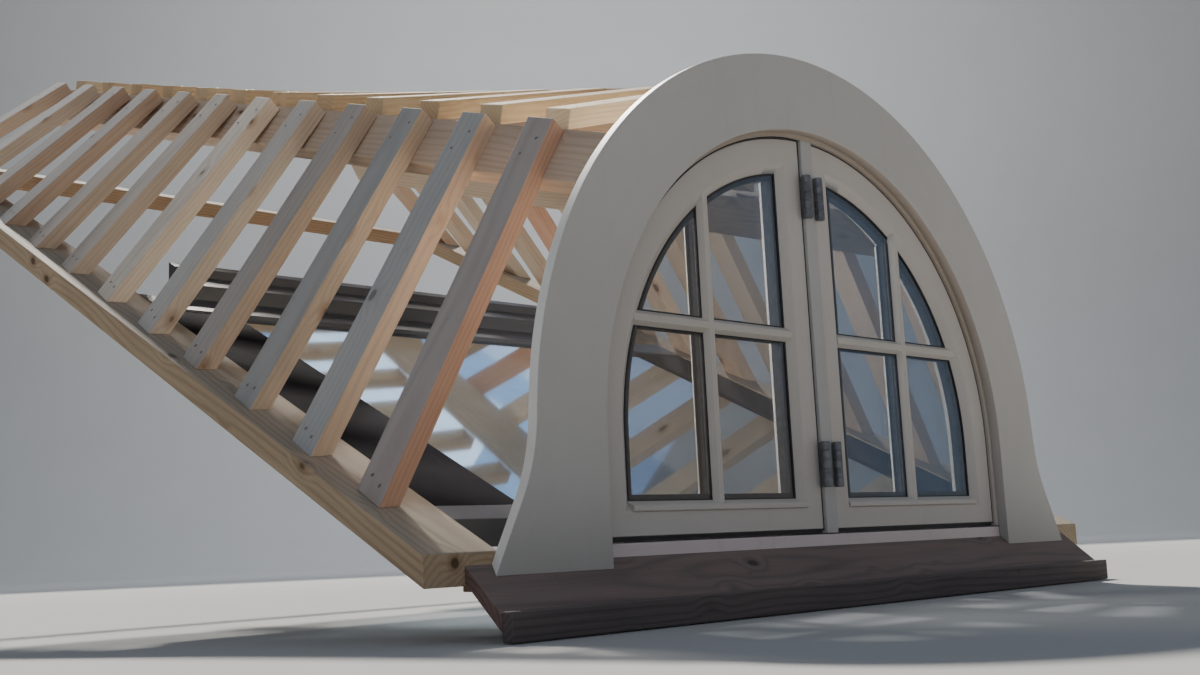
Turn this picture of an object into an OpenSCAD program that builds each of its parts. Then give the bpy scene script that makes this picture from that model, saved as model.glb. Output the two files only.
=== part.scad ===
// Round-headed dormer window on its open timber framing.
// +X right, +Y back into the roof, +Z up, millimetres.
// The origin is the middle of the flat underside of the sill beam.

/* [Window] */
// Radius of the round opening in the window frame
opening_r = 606; // [450:1:800]
// Height of the centre of the round head above the underside of the sill beam
spring_h = 245; // [150:1:500]
// Width of the arched frame member, seen from the front
frame_w = 64; // [40:1:100]
// Depth of the window frame from front to back
frame_d = 90; // [60:1:140]
// Width of the fixed post between the sashes
mullion_w = 35; // [25:1:60]
// Face width of the stiles and the arched rail of a sash
stile_w = 50; // [35:1:80]
// Face height of the bottom rail of a sash
rail_h = 42; // [35:1:100]
// Thickness of a sash
sash_t = 54; // [38:1:78]
// Joint all round a sash
sash_gap = 3; // [2:0.5:6]
// Width of the sloping bead between a sash face and its glass
bead_w = 18; // [8:1:30]
// Depth of the glass face behind the sash face
bead_d = 15; // [6:1:25]
// Thickness of the sealed glass unit
glass_t = 24; // [4:1:36]
// Height of a hinge knuckle
hinge_h = 88; // [60:1:120]
// Diameter of a hinge knuckle
hinge_dia = 18; // [10:1:22]

/* [Face plate] */
// Outer radius of the round front plate
plate_r = 766; // [600:1:1000]
// Radius of the opening in the front plate
plate_opening_r = 615; // [450:1:900]
// Thickness of the front plate
plate_t = 22; // [15:1:40]
// Height of the plate feet above the underside of the sill beam
foot_h = 23; // [0:1:100]
// Radius of the hollow curve that starts the flared feet
flare_r = 330; // [200:5:600]
// Angle of the straight part of the flared feet from upright
flare_a = 27; // [10:1:40]

/* [Side rafters] */
// Number of side rafters on each side
rafters = 12; // [4:1:14]
// Front face of the first side rafter
first_y = 103; // [80:1:200]
// Space from the first side rafter to the second
first_step = 194; // [120:1:250]
// Spacing of the other side rafters
step = 201; // [150:1:300]
// Half of the width over the feet of the side rafters
foot_half = 948; // [900:1:1050]
// Thickness of the rafter planks
plank_t = 38; // [25:1:60]
// Width of the rafter planks
plank_w = 70; // [50:1:120]
// Half of the width over the eaves line
eaves_x = 543; // [480:1:600]
// Height of the eaves line at the first rafter
eaves_h = 849; // [700:1:1000]
// Rise of the eaves line towards the back, in millimetres per metre
eaves_rise = 320; // [200:5:500]
// Height of the crown line at the first rafter
crown_h = 1015; // [850:1:1200]
// Rise of the crown line towards the back, in millimetres per metre
crown_rise = 267; // [150:1:450]
// Width of the side boards that carry the roof planks
side_board_w = 122; // [80:1:200]
// Height of the ridge board
ridge_h = 120; // [60:1:200]

/* [Base] */
// Pitch of the roof slope that the dormer sits on
roof_pitch = 26; // [15:1:50]
// Width of the sole plates on the roof slope
sole_w = 140; // [80:1:200]
// Upright thickness of the sole plates
sole_t = 50; // [30:1:80]
// Height of the sill beam
beam_h = 37; // [25:1:80]
// Half of the length of the apron below the window
apron_x = 900; // [860:1:1100]
// Run of the apron in front of the face plate feet
apron_run = 60; // [30:1:200]

/* [Lower glass] */
// Half of the width of the sloping glass under the framing
low_glass_x = 648; // [400:1:720]
// Where the sloping glass starts
low_glass_y0 = 120; // [80:5:300]
// Where the sloping glass ends
low_glass_y1 = 1100; // [600:5:1500]

/* [Hidden] */
fine = 96;
front_y = -frame_d/2 - plate_t;        // front of the face plate
back_y = frame_d/2;                    // back of the window frame
sash_y = -frame_d/2 + 7;               // front of the sashes
sash_r = opening_r - sash_gap;
half_post = mullion_w/2;
sill_top = 65;
sash_z0 = sill_top + 9;
stop_w = 18;                           // rebate that a sash closes against
tan_roof = tan(roof_pitch);
apron_tan = 0.86;

function rafter_y(i) = i == 0 ? first_y : first_y + first_step + (i - 1)*step;
function eaves_z(y) = eaves_h + (y - first_y)*eaves_rise/1000;
function crown_z(y) = crown_h + (y - first_y)*crown_rise/1000;
function roof_z(y) = (y - front_y)*tan_roof;          // underside of the sole plates
last_y = rafter_y(rafters - 1) + plank_w;
end_y = last_y + 85;                   // back ends of the sole plates
// each side rafter leans from the eaves line to the same width at its foot
function lean(y) = atan((eaves_z(y) - roof_z(y) - sole_t)/(foot_half - eaves_x));
function twist(l) = atan(cos(l)*eaves_rise/1000);
board_lean = 58.5;                     // lean of the side boards, which are flat
sole_out = foot_half + 27;
sole_in = sole_out - sole_w;

cream = [0.86, 0.84, 0.79];
raw_wood = [0.80, 0.62, 0.42];
steel = [0.50, 0.51, 0.53];
brown = [0.25, 0.19, 0.18];
dark_grey = [0.20, 0.21, 0.23];
clear = [0.62, 0.72, 0.78, 0.5];

// ---- helpers ----
module upright(y0, y1) translate([0, y1, 0]) rotate([90, 0, 0]) linear_extrude(y1 - y0) children();
module both_ways() { children(); mirror([1, 0, 0]) children(); }
module side(s) { if (s > 0) mirror([1, 0, 0]) children(); else children(); }

// round-headed outline of radius r, down to height z0
module arch_2d(r, z0) {
    translate([0, spring_h]) intersection() {
        circle(r, $fn = fine);
        translate([-r, 0]) square([2*r, r]);
    }
    translate([-r, z0]) square([2*r, spring_h - z0]);
}

// everything above (keep = 1) or below the top of the sole plates
module above_soles() translate([-1600, front_y, sole_t]) rotate([roof_pitch, 0, 0])
    translate([0, -600, 0]) cube([3200, 4600, 2600]);
module sole_slab() intersection() {
    translate([-1600, front_y, sole_t]) rotate([roof_pitch, 0, 0])
        translate([0, -600, -900]) cube([3200, 4600, 900]);
    translate([-1600, front_y, 0]) rotate([roof_pitch, 0, 0])
        translate([0, -600, 0]) cube([3200, 4600, 900]);
}

// ---- face plate ----
module foot_side_2d() {
    z0 = spring_h + 40;
    x1 = plate_r + flare_r*(1 - cos(flare_a));
    z1 = z0 - flare_r*sin(flare_a);
    xb = x1 + (z1 - foot_h)*tan(flare_a);
    difference() {
        polygon([[0, foot_h - 30], [xb + 30*tan(flare_a), foot_h - 30], [x1, z1], [x1, z0], [0, z0]]);
        translate([plate_r + flare_r, z0]) circle(flare_r, $fn = fine);
    }
}
module face_plate() color(cream) difference() {
    upright(front_y, front_y + plate_t) difference() {
        union() {
            arch_2d(plate_r, foot_h + 60);
            foot_side_2d();
            mirror([1, 0]) foot_side_2d();
        }
        arch_2d(plate_opening_r, -100);
    }
    // the feet are cut to the slope of the apron
    translate([-1500, front_y, foot_h]) rotate([atan(apron_tan), 0, 0])
        translate([0, -300, -300]) cube([3000, 600, 300]);
}

// ---- window frame, sill and post ----
module window_frame() color(cream) {
    upright(-frame_d/2, sash_y + sash_t + 2) difference() {
        arch_2d(opening_r + frame_w, sill_top);
        arch_2d(opening_r, sill_top - 1);
    }
    upright(sash_y + sash_t + 2, back_y) difference() {
        arch_2d(opening_r + frame_w, sill_top);
        arch_2d(opening_r - stop_w, sill_top - 1);
    }
}
module window_sill() color(cream) {
    difference() {
        translate([-700, -frame_d/2, beam_h]) cube([1400, frame_d + 13, sill_top - beam_h]);
        // fall to the front and a drip under the back edge
        translate([-800, -frame_d/2 - 1, sill_top - 2]) rotate([4, 0, 0]) cube([1600, 30, 20]);
    }
    // upstand behind each sash, between the stops of the frame and the post
    for (m = [0, 1]) mirror([m, 0, 0])
        translate([half_post + stop_w, sash_y + sash_t + 2, sill_top - 5])
            cube([opening_r - 2*stop_w - half_post, back_y - sash_y - sash_t - 2, 27]);
}
module centre_mullion() color(cream) {
    intersection() {
        translate([-half_post, -frame_d/2, sill_top]) cube([mullion_w, sash_t + 9, 900]);
        upright(-frame_d/2 - 10, back_y) arch_2d(opening_r, sill_top);
    }
    intersection() {
        translate([-half_post - stop_w, sash_y + sash_t + 2, sill_top])
            cube([mullion_w + 2*stop_w, back_y - sash_y - sash_t - 2, 900]);
        upright(-frame_d/2 - 10, back_y) arch_2d(opening_r - stop_w, sill_top);
    }
}

// ---- sashes: drawn for the right side, mirrored for the left ----
sash_x0 = half_post + sash_gap;
glass_x0 = sash_x0 + stile_w - 4 + bead_w;
glass_z0 = sash_z0 + rail_h + bead_w - 2;
glass_r = sash_r - stile_w - bead_w;
module half_arch_2d(r, x0, z0) intersection() {
    arch_2d(r, z0);
    translate([x0, z0]) square([r, spring_h + r]);
}
// sloping bead all round the glass: a cone, a flank, the post side and the bottom
module bead_cut() {
    e = 4;
    k = bead_w/bead_d;
    y0 = sash_y - e;
    y1 = sash_y + bead_d + e;
    intersection() {
        union() {
            intersection() {
                translate([0, y0, spring_h]) rotate([-90, 0, 0])
                    cylinder(h = y1 - y0, r1 = glass_r + bead_w + e*k, r2 = glass_r - e*k, $fn = fine);
                translate([0, y0 - e, spring_h]) cube([1000, bead_d + 4*e, 1000]);
            }
            linear_extrude(spring_h) polygon([[0, y0], [glass_r + bead_w + e*k, y0],
                [glass_r - e*k, y1], [0, y1]]);
        }
        translate([0, 0, -10]) linear_extrude(1300) polygon([[glass_x0 - bead_w - 2*e*k, y0 - e], [950, y0 - e],
            [950, y1 + e], [glass_x0 + 2*e*k, y1 + e]]);
        translate([-10, 0, 0]) rotate([90, 0, 90]) linear_extrude(1000) polygon([
            [y0 - e, glass_z0 - bead_w - 2*e*k], [y1 + e, glass_z0 + 2*e*k], [y1 + e, 1300], [y0 - e, 1300]]);
    }
}
module sash() color(cream) difference() {
    upright(sash_y, sash_y + sash_t) half_arch_2d(sash_r, sash_x0, sash_z0);
    upright(sash_y - 1, sash_y + sash_t + 1) half_arch_2d(glass_r, glass_x0, glass_z0);
    bead_cut();
}
module sash_glass() color(clear)
    upright(sash_y + bead_d, sash_y + bead_d + glass_t)
        half_arch_2d(glass_r, glass_x0, glass_z0);

// ---- hinges: one knuckle and one leaf each, two to a sash ----
module hinge(z) {
    translate([half_post + 1.5, -frame_d/2 - hinge_dia/2, z]) cylinder(h = hinge_h, d = hinge_dia, $fn = fine);
    translate([half_post + 0.4, -frame_d/2 - hinge_dia/2, z]) cube([2.2, 34, hinge_h]);
}
module sash_hinges() color(steel) { hinge(153); hinge(686); }

// ---- base ----
module sole_plate() color(raw_wood) intersection() {
    sole_slab();
    translate([-sole_out, -frame_d/2, -50]) cube([sole_w, end_y + frame_d/2, 2400]);
}
module sill_beam() color(raw_wood)
    translate([-sole_in, -frame_d/2, 0]) cube([2*sole_in, frame_d, beam_h]);
module rear_header() color(raw_wood) intersection() {
    sole_slab();
    translate([-sole_in, end_y - 60, 0]) cube([2*sole_in, 45, 2400]);
}
module apron_board() color(brown) intersection() {
    translate([-apron_x, front_y, foot_h]) rotate([atan(apron_tan), 0, 0])
        translate([0, -300, -20]) cube([2*apron_x, 600, 20]);
    translate([-apron_x, front_y - apron_run, -300])
        cube([2*apron_x, apron_run + plate_t, 600]);
}
module apron_nosing() color(brown)
    translate([-apron_x, front_y - apron_run - 24, foot_h - apron_tan*apron_run - 40])
        cube([2*apron_x, 24, 44]);

// ---- side framing, drawn for the left ----
// lays a child drawn flat, +Y up the slope and +X to the front, on the side plane
// of lean l at the eaves line above y
module on_side(l, y) translate([-eaves_x, y, eaves_z(y)])
    rotate([0, -l, 0]) rotate([0, 0, -90]) rotate([0, twist(l), 0]) children();
module side_board_solid() {
    c = cos(twist(board_lean));
    k = sin(board_lean)*eaves_rise/1000;
    d = 9/sin(board_lean);
    y1 = last_y + 200;
    intersection() {
        on_side(board_lean, 0) translate([0, 0, -2*plank_t]) linear_extrude(plank_t) polygon([
            [200/c, -200*k - d], [-y1/c, y1*k - d],
            [-y1/c, y1*k - d - side_board_w], [200/c, -200*k - d - side_board_w]]);
        translate([-900, -frame_d/2, 0]) cube([900, frame_d/2 + last_y + 12, 2400]);
    }
}
module side_board() color(raw_wood) side_board_solid();
top_drop = 16;                         // tops of the side rafters below the eaves line
module rafter(i) color(raw_wood) {
    y = rafter_y(i);
    l = lean(y);
    t = -top_drop/sin(l);
    up = plank_w*cos(twist(l))*sin(l)*eaves_rise/1000;
    difference() {
        intersection() {
            on_side(l, y) translate([0, 0, -plank_t]) linear_extrude(plank_t)
                polygon([[0, t], [-plank_w, t + up], [-plank_w, t - 1100], [0, t - 1100]]);
            above_soles();
        }
        side_board_solid();
    }
}
module ridge_board() color(raw_wood) {
    slope = atan(crown_rise/1000);
    intersection() {
        translate([-plank_t/2, 0, crown_z(0) - 6]) rotate([slope, 0, 0])
            translate([0, -300, -ridge_h]) cube([plank_t, 3800, ridge_h]);
        translate([-100, back_y, 0]) cube([200, last_y + 12 - back_y, 2600]);
    }
}
module roof_plank(i) {
    y = rafter_y(i);
    pitch = atan((crown_z(y) - eaves_z(y))/eaves_x);
    tip = atan((eaves_rise + crown_rise)/2000*cos(pitch));
    // the left end butts against the top of the side rafter
    x0 = plank_t/sin(lean(y)) - top_drop/tan(lean(y)) + 0.5;
    intersection() {
        translate([-eaves_x, y, eaves_z(y)]) rotate([0, -pitch, 0]) rotate([tip, 0, 0])
            translate([0, 0, -plank_t]) cube([1.2*eaves_x, plank_w, plank_t]);
        translate([-eaves_x + x0, 0, 0]) cube([eaves_x - x0 - plank_t/2, 4000, 3000]);
    }
}
module roof_planks() color(raw_wood) difference() {
    for (i = [0:rafters - 1]) roof_plank(i);
    side_board_solid();
}

// ---- sloping glass that closes the hole under the framing ----
module low_slab(z0, z1) intersection() {
    translate([-1600, front_y, z0]) rotate([roof_pitch, 0, 0])
        translate([0, -600, 0]) cube([3200, 4600, 900]);
    translate([-1600, front_y, z1]) rotate([roof_pitch, 0, 0])
        translate([0, -600, -900]) cube([3200, 4600, 900]);
}
module lower_glass() color(clear) intersection() {
    low_slab(16, 40);
    translate([-low_glass_x, low_glass_y0, 0]) cube([2*low_glass_x, low_glass_y1 - low_glass_y0, 2000]);
}
module between_soles() translate([-sole_in, -frame_d/2, 0]) cube([2*sole_in, end_y, 2400]);
// head rail in three steps: flat rail, box and upstand
module lower_glass_head() color(dark_grey) union() {
    intersection() {
        low_slab(0, 50);
        between_soles();
        translate([-900, low_glass_y1, 0]) cube([1800, 92, 2000]);
    }
    intersection() {
        low_slab(0, 85);
        translate([-low_glass_x - 70, low_glass_y1 + 86, 0]) cube([2*low_glass_x + 140, 72, 2000]);
    }
    intersection() {
        low_slab(0, 106);
        translate([-low_glass_x - 70, low_glass_y1 + 156, 0]) cube([2*low_glass_x + 140, 34, 2000]);
    }
}
module lower_glass_foot() color(dark_grey) intersection() {
    low_slab(0, 46);
    between_soles();
    translate([-900, back_y + 25, 0]) cube([1800, low_glass_y0 - back_y - 25, 2000]);
}
module lining_board() color(dark_grey) intersection() {
    low_slab(0, 46);
    between_soles();
    translate([-900, low_glass_y0, 0]) cube([900 - low_glass_x, low_glass_y1 - low_glass_y0, 2000]);
}

face_plate();
window_frame();
window_sill();
centre_mullion();
mirror([1, 0, 0]) sash();  // left_sash
sash();  // right_sash
mirror([1, 0, 0]) sash_glass();  // left_glass
sash_glass();  // right_glass
mirror([1, 0, 0]) sash_hinges();  // left_sash_hinges
sash_hinges();  // right_sash_hinges
sill_beam();
apron_board();
apron_nosing();
sole_plate();  // left_sole_plate
mirror([1, 0, 0]) sole_plate();  // right_sole_plate
rear_header();
side_board();  // left_side_board
mirror([1, 0, 0]) side_board();  // right_side_board
ridge_board();
rafter(0);  // left_rafter_1
rafter(1);  // left_rafter_2
rafter(2);  // left_rafter_3
rafter(3);  // left_rafter_4
rafter(4);  // left_rafter_5
rafter(5);  // left_rafter_6
rafter(6);  // left_rafter_7
rafter(7);  // left_rafter_8
for (i = [8:rafters - 1]) rafter(i);  // left_rear_rafters
mirror([1, 0, 0]) rafter(0);  // right_rafter_1
mirror([1, 0, 0]) rafter(1);  // right_rafter_2
mirror([1, 0, 0]) rafter(2);  // right_rafter_3
mirror([1, 0, 0]) rafter(3);  // right_rafter_4
mirror([1, 0, 0]) rafter(4);  // right_rafter_5
mirror([1, 0, 0]) rafter(5);  // right_rafter_6
mirror([1, 0, 0]) rafter(6);  // right_rafter_7
mirror([1, 0, 0]) rafter(7);  // right_rafter_8
mirror([1, 0, 0]) for (i = [8:rafters - 1]) rafter(i);  // right_rear_rafters
roof_planks();  // left_roof_planks
mirror([1, 0, 0]) roof_planks();  // right_roof_planks
lower_glass();
lower_glass_head();
lower_glass_foot();
lining_board();  // left_lining_board
mirror([1, 0, 0]) lining_board();  // right_lining_board
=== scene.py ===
import math
import random

import bmesh
import bpy
from mathutils import Matrix, Vector


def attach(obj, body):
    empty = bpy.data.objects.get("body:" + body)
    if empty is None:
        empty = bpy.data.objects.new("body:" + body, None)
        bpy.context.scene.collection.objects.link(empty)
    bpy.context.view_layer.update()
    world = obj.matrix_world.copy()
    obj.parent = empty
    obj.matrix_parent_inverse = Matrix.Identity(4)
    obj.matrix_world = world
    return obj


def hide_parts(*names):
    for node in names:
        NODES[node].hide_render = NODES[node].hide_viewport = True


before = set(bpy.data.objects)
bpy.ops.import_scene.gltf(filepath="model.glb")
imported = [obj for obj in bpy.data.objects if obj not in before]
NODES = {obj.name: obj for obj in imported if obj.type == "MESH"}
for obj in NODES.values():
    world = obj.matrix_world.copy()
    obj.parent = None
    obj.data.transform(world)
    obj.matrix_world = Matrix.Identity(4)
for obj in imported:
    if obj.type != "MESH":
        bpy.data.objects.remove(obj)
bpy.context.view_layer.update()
rnd = random.Random(11)

# ---------------------------------------------------------------- dimensions (m)
SPRING = 0.245
OPEN_R, SASH_R = 0.606, 0.603
PLATE_R, PLATE_OPEN_R = 0.766, 0.615
FRAME_R, STOP_R = 0.670, 0.588
FRONT, FRAME_Y0, FRAME_Y1 = -0.067, -0.045, 0.045
SASH_Y0, SASH_Y1, STOP_Y = -0.038, 0.016, 0.018
SX0, SZ0 = 0.0205, 0.074
GR, GX0, GZ0 = 0.535, 0.0845, 0.132
BEAD_W, GLASS_Y = 0.018, -0.023
SILL_TOP = 0.065
FOOT_H, APRON_TAN = 0.023, 0.86
FLARE_R, FLARE_A = 0.330, math.radians(27)
EAVES_X, FOOT_X = 0.543, 0.948
PLANK_T, PLANK_W = 0.038, 0.070
TAN_ROOF = math.tan(math.radians(26))
SOLE_T = 0.050


def rafter_y(i):
    return 0.103 if i == 0 else 0.103 + 0.194 + (i - 1) * 0.201


def eaves_z(y):
    return 0.849 + (y - 0.103) * 0.320


def crown_z(y):
    return 1.015 + (y - 0.103) * 0.267


def roof_z(y):
    return (y - FRONT) * TAN_ROOF


def lean(y):
    return math.atan((eaves_z(y) - roof_z(y) - SOLE_T) / (FOOT_X - EAVES_X))


# ---------------------------------------------------------------- materials
class Tree:
    """Short helper that builds node trees."""

    def __init__(self, name):
        self.m = bpy.data.materials.new(name)
        self.m.use_nodes = True
        self.t = self.m.node_tree
        self.t.nodes.clear()
        self.out = self.t.nodes.new("ShaderNodeOutputMaterial")

    def n(self, kind, **props):
        node = self.t.nodes.new("ShaderNode" + kind)
        for k, v in props.items():
            setattr(node, k, v)
        return node

    def link(self, a, b):
        self.t.links.new(a, b)

    def put(self, socket, value):
        if isinstance(value, bpy.types.NodeSocket):
            self.link(value, socket)
        else:
            socket.default_value = value

    def math(self, op, a, b=0.0, c=0.0, clamp=False):
        node = self.n("Math", operation=op, use_clamp=clamp)
        for s, v in zip(node.inputs, (a, b, c)):
            self.put(s, v)
        return node.outputs[0]

    def ramp(self, fac, lo, hi, a=0.0, b=1.0):
        node = self.n("MapRange", interpolation_type="SMOOTHSTEP")
        for s, v in zip(node.inputs, (fac, lo, hi, a, b)):
            self.put(s, v)
        return node.outputs[0]

    def mix(self, fac, a, b, kind="MIX"):
        node = self.n("Mix", data_type="RGBA", blend_type=kind)
        self.put(node.inputs[0], fac)
        self.put(node.inputs[6], a)
        self.put(node.inputs[7], b)
        return node.outputs[2]

    def noise(self, vec, scale, detail=4.0, rough=0.55, distort=0.0):
        node = self.n("TexNoise")
        self.put(node.inputs["Vector"], vec)
        node.inputs["Scale"].default_value = scale
        node.inputs["Detail"].default_value = detail
        node.inputs["Roughness"].default_value = rough
        node.inputs["Distortion"].default_value = distort
        return node.outputs["Fac"]

    def mapping(self, vec, scale=(1, 1, 1), loc=(0, 0, 0)):
        node = self.n("Mapping")
        self.put(node.inputs["Vector"], vec)
        node.inputs["Scale"].default_value = scale
        node.inputs["Location"].default_value = loc
        return node.outputs["Vector"]

    def bump(self, height, strength, distance, normal=None):
        node = self.n("Bump")
        node.inputs["Strength"].default_value = strength
        node.inputs["Distance"].default_value = distance
        self.put(node.inputs["Height"], height)
        if normal is not None:
            self.link(normal, node.inputs["Normal"])
        return node.outputs["Normal"]

    def finish(self, color, rough, normal=None, metallic=0.0, spec=0.4):
        p = self.n("BsdfPrincipled")
        self.put(p.inputs["Base Color"], color)
        self.put(p.inputs["Roughness"], rough)
        p.inputs["Metallic"].default_value = metallic
        p.inputs["Specular IOR Level"].default_value = spec
        if normal is not None:
            self.link(normal, p.inputs["Normal"])
        self.link(p.outputs[0], self.out.inputs["Surface"])
        return self.m


def rgb(r, g, b):
    return (r, g, b, 1.0)


def wood(name, light, dark, knot, weather_and_sky_grey=None, weather_and_sky_amount=0.0, rough=0.72, tone_gain=0.35, ring_scale=105.0, dirt=0.25, ring_mix=0.40):
    """Sawn softwood: growth rings about a pith beside the plank, so faces, edges and ends
    all show the right grain. "gpos" holds each plank's own length, width and depth."""
    t = Tree(name)
    g = t.n("Attribute", attribute_name="gpos").outputs["Vector"]
    tone = t.n("Attribute", attribute_name="tone")
    tsep = t.n("SeparateColor")
    t.link(tone.outputs["Color"], tsep.inputs[0])
    tone_l, tone_w, tone_r = tsep.outputs[0], tsep.outputs[1], tsep.outputs[2]
    # slow wander of the pith along the plank
    slow = t.n("TexNoise")
    t.put(slow.inputs["Vector"], t.mapping(g, (1.1, 1.8, 1.8)))
    slow.inputs["Scale"].default_value = 1.0
    slow.inputs["Detail"].default_value = 2.0
    off = t.n("VectorMath", operation="MULTIPLY_ADD")
    t.link(slow.outputs["Color"], off.inputs[0])
    off.inputs[1].default_value = (0.0, 0.060, 0.060)
    t.link(g, off.inputs[2])
    # knots: small balls in the wood that push the rings aside
    vor = t.n("TexVoronoi", feature="F1", voronoi_dimensions="3D")
    t.link(t.mapping(g, (5.6, 10.0, 10.0)), vor.inputs["Vector"])
    vor.inputs["Scale"].default_value = 1.0
    vor.inputs["Randomness"].default_value = 0.95
    kd = vor.outputs["Distance"]
    near = t.ramp(kd, 0.02, 0.34, 1.0, 0.0)
    sep = t.n("SeparateXYZ")
    t.link(off.outputs[0], sep.inputs[0])
    v = t.math("ADD", sep.outputs[1], t.math("ADD", t.math("MULTIPLY", tone_r, 0.12), -0.03))
    w = t.math("ADD", sep.outputs[2], 0.055)
    dist = t.math("SQRT", t.math("ADD", t.math("MULTIPLY", v, v), t.math("MULTIPLY", w, w)))
    dist = t.math("ADD", dist, t.math("MULTIPLY", near, 0.013))
    wob = t.noise(t.mapping(g, (1.6, 30, 30)), 1.0, 3.0, 0.5)
    dist = t.math("ADD", dist, t.math("MULTIPLY", wob, 0.006))
    ph = t.math("MULTIPLY", dist, ring_scale * 2 * math.pi)
    ring = t.math("MULTIPLY_ADD", t.math("SINE", ph), 0.5, 0.5)
    ring = t.math("POWER", ring, 2.2)
    fibre = t.noise(t.mapping(g, (7, 420, 420)), 1.0, 4.0, 0.6)
    pores = t.noise(t.mapping(g, (26, 900, 900)), 1.0, 2.0, 0.6)
    blot = t.noise(t.mapping(g, (3.0, 11, 11)), 1.0, 3.0, 0.55)
    mixg = t.math("ADD", t.math("MULTIPLY", ring, ring_mix), t.math("MULTIPLY", t.ramp(fibre, 0.35, 0.68), 0.24))
    mixg = t.math("ADD", mixg, t.math("MULTIPLY", t.ramp(blot, 0.35, 0.72), 0.26), clamp=True)
    col = t.mix(mixg, rgb(*light), rgb(*dark))
    kn = t.ramp(kd, 0.055, 0.095, 1.0, 0.0)
    halo = t.ramp(kd, 0.08, 0.20, 0.45, 0.0)
    knring = t.math("MULTIPLY_ADD", t.math("SINE", t.math("MULTIPLY", kd, 330.0)), 0.22, 0.78)
    kcol = t.mix(knring, rgb(knot[0] * 0.45, knot[1] * 0.45, knot[2] * 0.45), rgb(*knot))
    col = t.mix(halo, col, rgb(knot[0] * 1.5, knot[1] * 1.35, knot[2] * 1.2))
    col = t.mix(kn, col, kcol)
    # each plank a little lighter or darker, redder or paler, from its tone; some tones are set to copy how light falls
    # on a piece, as painted light
    val = t.math("MULTIPLY_ADD", tone_l, tone_gain * 2, 1.0 - tone_gain)
    hsv = t.n("HueSaturation")
    t.link(col, hsv.inputs["Color"])
    t.put(hsv.inputs["Hue"], t.math("MULTIPLY_ADD", tone_w, -0.040, 0.522))
    t.put(hsv.inputs["Saturation"], t.math("MULTIPLY_ADD", tone_w, 0.60, 0.72))
    t.put(hsv.inputs["Value"], val)
    col = hsv.outputs[0]
    # faces turned up and out go pale and bluish, in streaks along the grain: partly weathering, partly painted sky
    # light on those faces
    if weather_and_sky_grey:
        nz = t.n("SeparateXYZ")
        t.link(t.n("TexCoord").outputs["Normal"], nz.inputs[0])
        up = t.ramp(nz.outputs[2], 0.12, 0.42)
        sn = t.noise(t.mapping(g, (3.5, 60, 60)), 1.0, 4.0, 0.6)
        streak = t.ramp(sn, 0.25, 0.75, 0.72, 1.0)
        weather_and_sky_col = t.mix(t.math("MULTIPLY_ADD", ring, ring_mix * 0.8, t.math("MULTIPLY", blot, 0.5)), rgb(weather_and_sky_grey[0] * 1.14, weather_and_sky_grey[1] * 1.14, weather_and_sky_grey[2] * 1.12), rgb(weather_and_sky_grey[0] * 0.72, weather_and_sky_grey[1] * 0.71, weather_and_sky_grey[2] * 0.69))
        pale = t.n("HueSaturation")
        t.link(weather_and_sky_col, pale.inputs["Color"])
        t.put(pale.inputs["Value"], val)
        weather_and_sky_col = t.mix(t.math("MULTIPLY", kn, 0.75), pale.outputs[0], rgb(weather_and_sky_grey[0] * 0.42, weather_and_sky_grey[1] * 0.34, weather_and_sky_grey[2] * 0.28))
        weather_and_sky_mask = t.math("MULTIPLY", t.math("MULTIPLY", up, streak), t.math("MULTIPLY", tone.outputs["Alpha"], weather_and_sky_amount))
        col = t.mix(weather_and_sky_mask, col, weather_and_sky_col)
    spots = t.ramp(t.noise(t.mapping(g, (30, 60, 60)), 1.0, 5.0, 0.7), 0.60, 0.78, 0.0, dirt)
    col = t.mix(spots, col, rgb(dark[0] * 0.4, dark[1] * 0.4, dark[2] * 0.4))
    r = t.math("MULTIPLY_ADD", fibre, 0.22, rough - 0.12)
    saw = t.noise(t.mapping(g, (260, 14, 14)), 1.0, 2.0, 0.5)
    h = t.math("ADD", t.math("MULTIPLY", fibre, 0.7), t.math("MULTIPLY", pores, 0.5))
    h = t.math("ADD", h, t.math("MULTIPLY", saw, 0.35))
    h = t.math("ADD", h, t.math("MULTIPLY", ring, 0.25))
    nrm = t.bump(h, 0.55, 0.0012)
    return t.finish(col, r, nrm, spec=0.28)


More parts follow.
